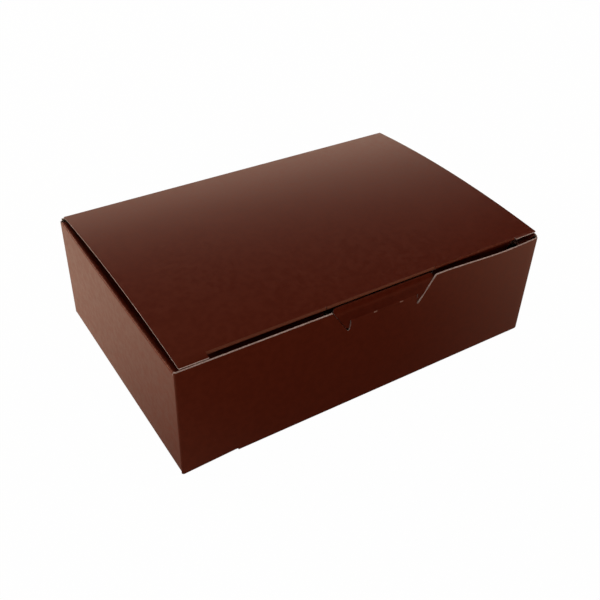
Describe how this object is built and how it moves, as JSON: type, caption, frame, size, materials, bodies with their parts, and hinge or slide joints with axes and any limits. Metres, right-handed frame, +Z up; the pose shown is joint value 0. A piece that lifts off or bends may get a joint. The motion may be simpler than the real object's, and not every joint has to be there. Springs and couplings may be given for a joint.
{
  "type": "folding candy box",
  "caption": "Brown folding candy box of coated paperboard with a hinged bowed lid, tuck flap, side dust flaps, front lock tongue and self-locking bottom.",
  "frame": {"origin": "centre of the underside, on the surface that the box stands on", "axes": "+X along the length towards the right end, +Y from the front wall to the back wall with the lid hinge, +Z up"},
  "size_m": [0.178, 0.118, 0.0567],
  "materials": {
    "printed_board": "satin coated, brown print outside",
    "glue": "dried adhesive film"
  },
  "bodies": {
    "carton": {"front_wall": "printed_board", "back_wall": "printed_board", "left_wall": "printed_board", "right_wall": "printed_board", "seam_tab": "printed_board", "seam_glue": "glue", "front_bottom_flap": "printed_board", "back_bottom_flap": "printed_board", "left_bottom_flap": "printed_board", "right_bottom_flap": "printed_board", "front_glue_wing": "printed_board", "back_glue_wing": "printed_board", "bottom_glue": "glue"},
    "lid": {"lid_panel": "printed_board"},
    "tuck": {"tuck_flap": "printed_board"},
    "left_dust": {"left_dust_flap": "printed_board"},
    "right_dust": {"right_dust_flap": "printed_board"},
    "tongue": {"lock_tongue": "printed_board"}
  },
  "joints": [
    {"name": "lid_hinge", "type": "hinge", "parent": "carton", "child": "lid", "pos_m": [0, 0.05875, 0.0533], "axis": [-1, 0, 0], "range_deg": [0, 175]},
    {"name": "tuck_crease", "type": "hinge", "parent": "lid", "child": "tuck", "pos_m": [0, -0.0562, 0.0544], "axis": [-1, 0, 0], "range_deg": [0, 45]},
    {"name": "left_dust_crease", "type": "hinge", "parent": "carton", "child": "left_dust", "pos_m": [-0.08875, 0, 0.05225], "axis": [0, -1, 0], "range_deg": [0, 100]},
    {"name": "right_dust_crease", "type": "hinge", "parent": "carton", "child": "right_dust", "pos_m": [0.08875, 0, 0.05225], "axis": [0, 1, 0], "range_deg": [0, 100]},
    {"name": "lock_tongue_crease", "type": "hinge", "parent": "carton", "child": "tongue", "pos_m": [0.004, -0.05875, 0.0458], "axis": [-1, 0, 0], "range_deg": [-12, 75]}
  ],
  "couplings": [
    {"joint": "tuck_crease", "follows": "lid_hinge", "ratio": 0.25},
    {"joint": "left_dust_crease", "follows": "lid_hinge", "ratio": 0.55},
    {"joint": "right_dust_crease", "follows": "lid_hinge", "ratio": 0.55}
  ]
}
